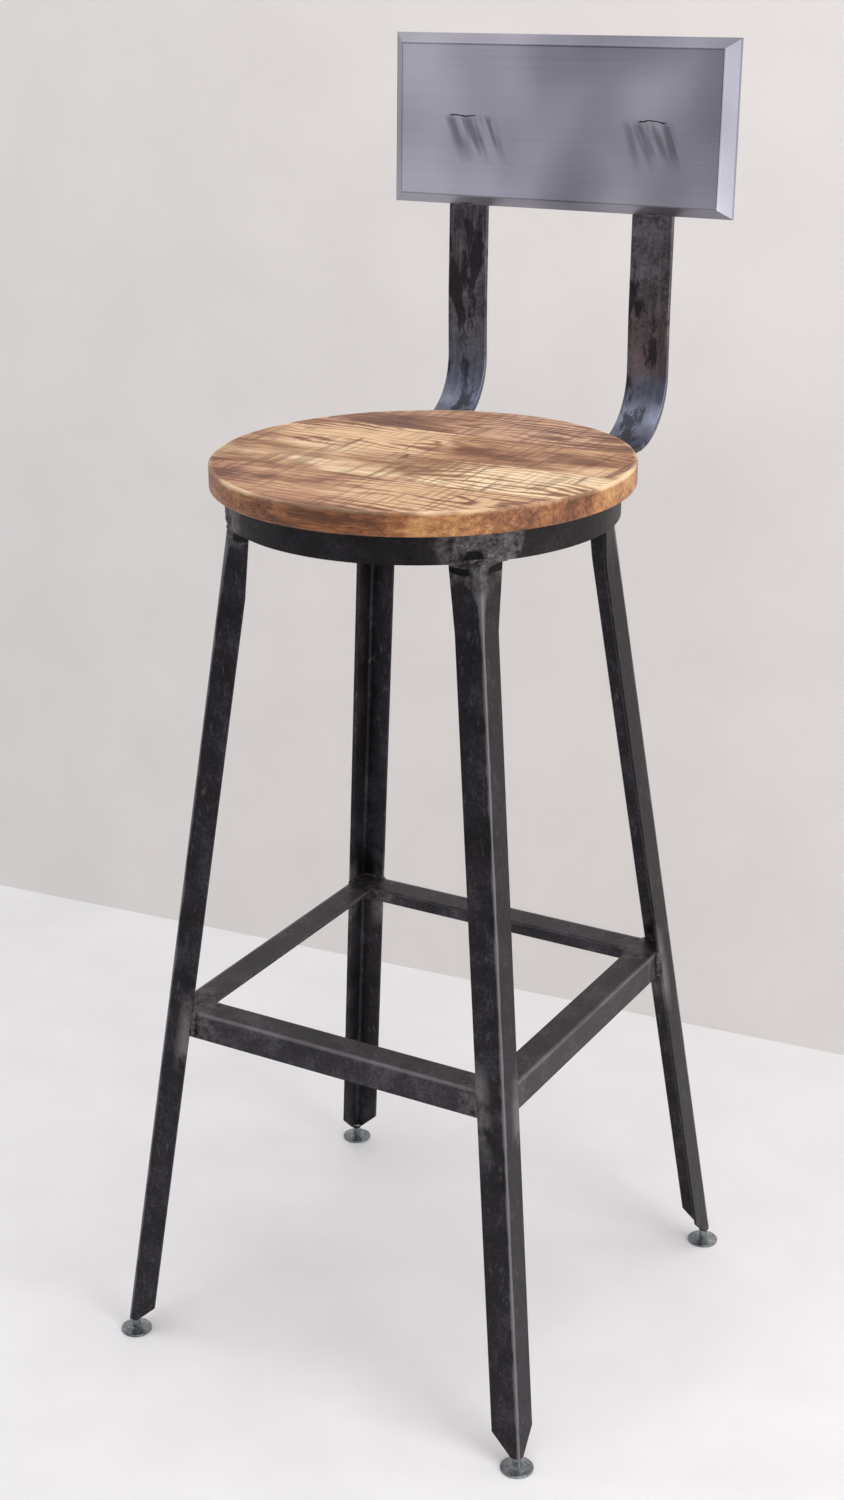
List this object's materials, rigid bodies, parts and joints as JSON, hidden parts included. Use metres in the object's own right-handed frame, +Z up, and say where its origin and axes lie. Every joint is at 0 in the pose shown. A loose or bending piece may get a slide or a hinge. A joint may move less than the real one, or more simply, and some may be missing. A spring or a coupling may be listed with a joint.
{
  "type": "bar stool with footrest",
  "caption": "Round boarded wooden seat on a steel hoop with splayed angle-iron legs, a square angle-iron footrest and a folded sheet back panel on bent flat bars.",
  "frame": {"origin": "on the floor under the middle of the overall bounding box", "axes": "+Z up, front of the stool towards -Y, back panel at +Y, +X to the right seen from the front"},
  "size_m": [0.4188, 0.4582, 1.1091],
  "materials": {
    "seat_wood": "rough-sawn hardwood boards, sanded rim, clear matt lacquer",
    "frame_steel": "hot-rolled mild steel with mill scale, ground welds, clear satin lacquer",
    "panel_steel": "cold-rolled sheet steel, clear satin lacquer",
    "foot_steel": "turned mild steel, oiled",
    "screw_steel": "zinc-plated steel"
  },
  "bodies": {
    "root": {"seat_board_1": "seat_wood", "seat_board_2": "seat_wood", "seat_board_3": "seat_wood", "seat_board_4": "seat_wood", "seat_ring": "frame_steel", "leg_front_left": "frame_steel", "leg_front_right": "frame_steel", "leg_back_left": "frame_steel", "leg_back_right": "frame_steel", "foot_front_left": "foot_steel", "foot_front_right": "foot_steel", "foot_back_left": "foot_steel", "foot_back_right": "foot_steel", "footrest_rail_front": "frame_steel", "footrest_rail_right": "frame_steel", "footrest_rail_back": "frame_steel", "footrest_rail_left": "frame_steel", "back_support_left": "frame_steel", "back_support_right": "frame_steel", "back_panel": "panel_steel", "seat_screws": "screw_steel"}
  },
  "joints": []
}
